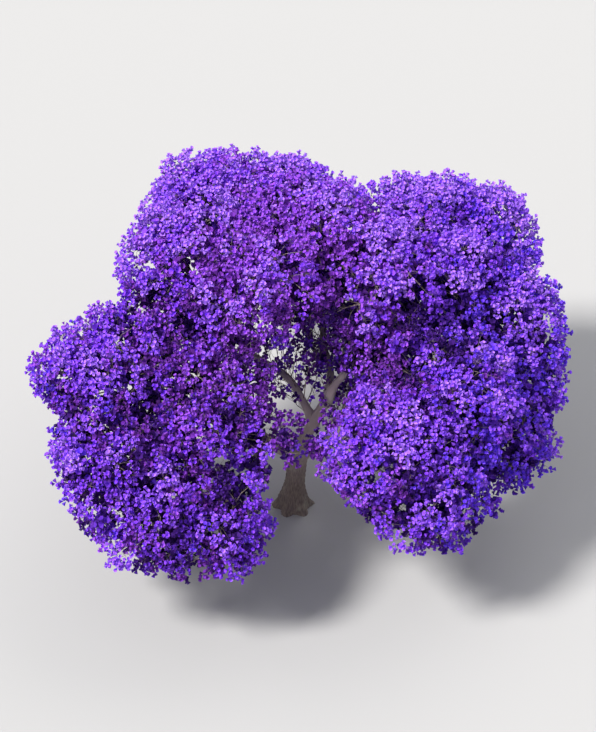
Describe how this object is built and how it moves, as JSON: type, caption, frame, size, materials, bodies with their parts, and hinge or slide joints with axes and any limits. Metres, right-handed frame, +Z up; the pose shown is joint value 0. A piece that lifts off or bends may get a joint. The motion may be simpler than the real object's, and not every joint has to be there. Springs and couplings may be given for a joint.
{
  "type": "jacaranda tree",
  "caption": "Spreading jacaranda in full bloom: a short flared trunk forking low into long boughs that carry rounded masses of violet blossom, with no leaves.",
  "frame": {"origin": "centre of the flat cut under the trunk, at ground level", "axes": "+Z straight up out of the ground, +X to the viewer's right and +Y away from the viewer in the picture"},
  "size_m": [20.6846, 19.7687, 13.196],
  "materials": {
    "bark": "rough grey-brown bark with shallow fissures, paler on the upper limbs",
    "blossom": "soft matt violet-blue petals in loose sprays"
  },
  "bodies": {
    "root": {"trunk": "bark", "scaffold_back": "bark", "scaffold_left": "bark", "scaffold_right": "bark", "bough_back": "bark", "bough_back_left": "bark", "bough_back_right": "bark", "bough_front": "bark", "bough_front_right": "bark", "bough_leader": "bark", "bough_left": "bark", "bough_right": "bark", "limb_back_1": "bark", "limb_back_2": "bark", "limb_back_left_1": "bark", "limb_back_left_2": "bark", "limb_back_left_3": "bark", "limb_back_left_4": "bark", "limb_back_right_1": "bark", "limb_back_right_2": "bark", "limb_back_right_3": "bark", "limb_front_1": "bark", "limb_front_2": "bark", "limb_front_right_1": "bark", "limb_front_right_2": "bark", "limb_front_right_3": "bark", "limb_leader_1": "bark", "limb_leader_2": "bark", "limb_leader_3": "bark", "limb_left_1": "bark", "limb_left_2": "bark", "limb_left_3": "bark", "limb_right_1": "bark", "limb_right_2": "bark", "limb_right_3": "bark", "limb_right_4": "bark", "blossom_back_1": "blossom", "blossom_back_2": "blossom", "blossom_back_left_1": "blossom", "blossom_back_left_2": "blossom", "blossom_back_left_3": "blossom", "blossom_back_left_4": "blossom", "blossom_back_right_1": "blossom", "blossom_back_right_2": "blossom", "blossom_back_right_3": "blossom", "blossom_front_1": "blossom", "blossom_front_2": "blossom", "blossom_front_right_1": "blossom", "blossom_front_right_2": "blossom", "blossom_front_right_3": "blossom", "blossom_leader_1": "blossom", "blossom_leader_2": "blossom", "blossom_leader_3": "blossom", "blossom_left_1": "blossom", "blossom_left_2": "blossom", "blossom_left_3": "blossom", "blossom_right_1": "blossom", "blossom_right_2": "blossom", "blossom_right_3": "blossom", "blossom_right_4": "blossom"}
  },
  "joints": []
}
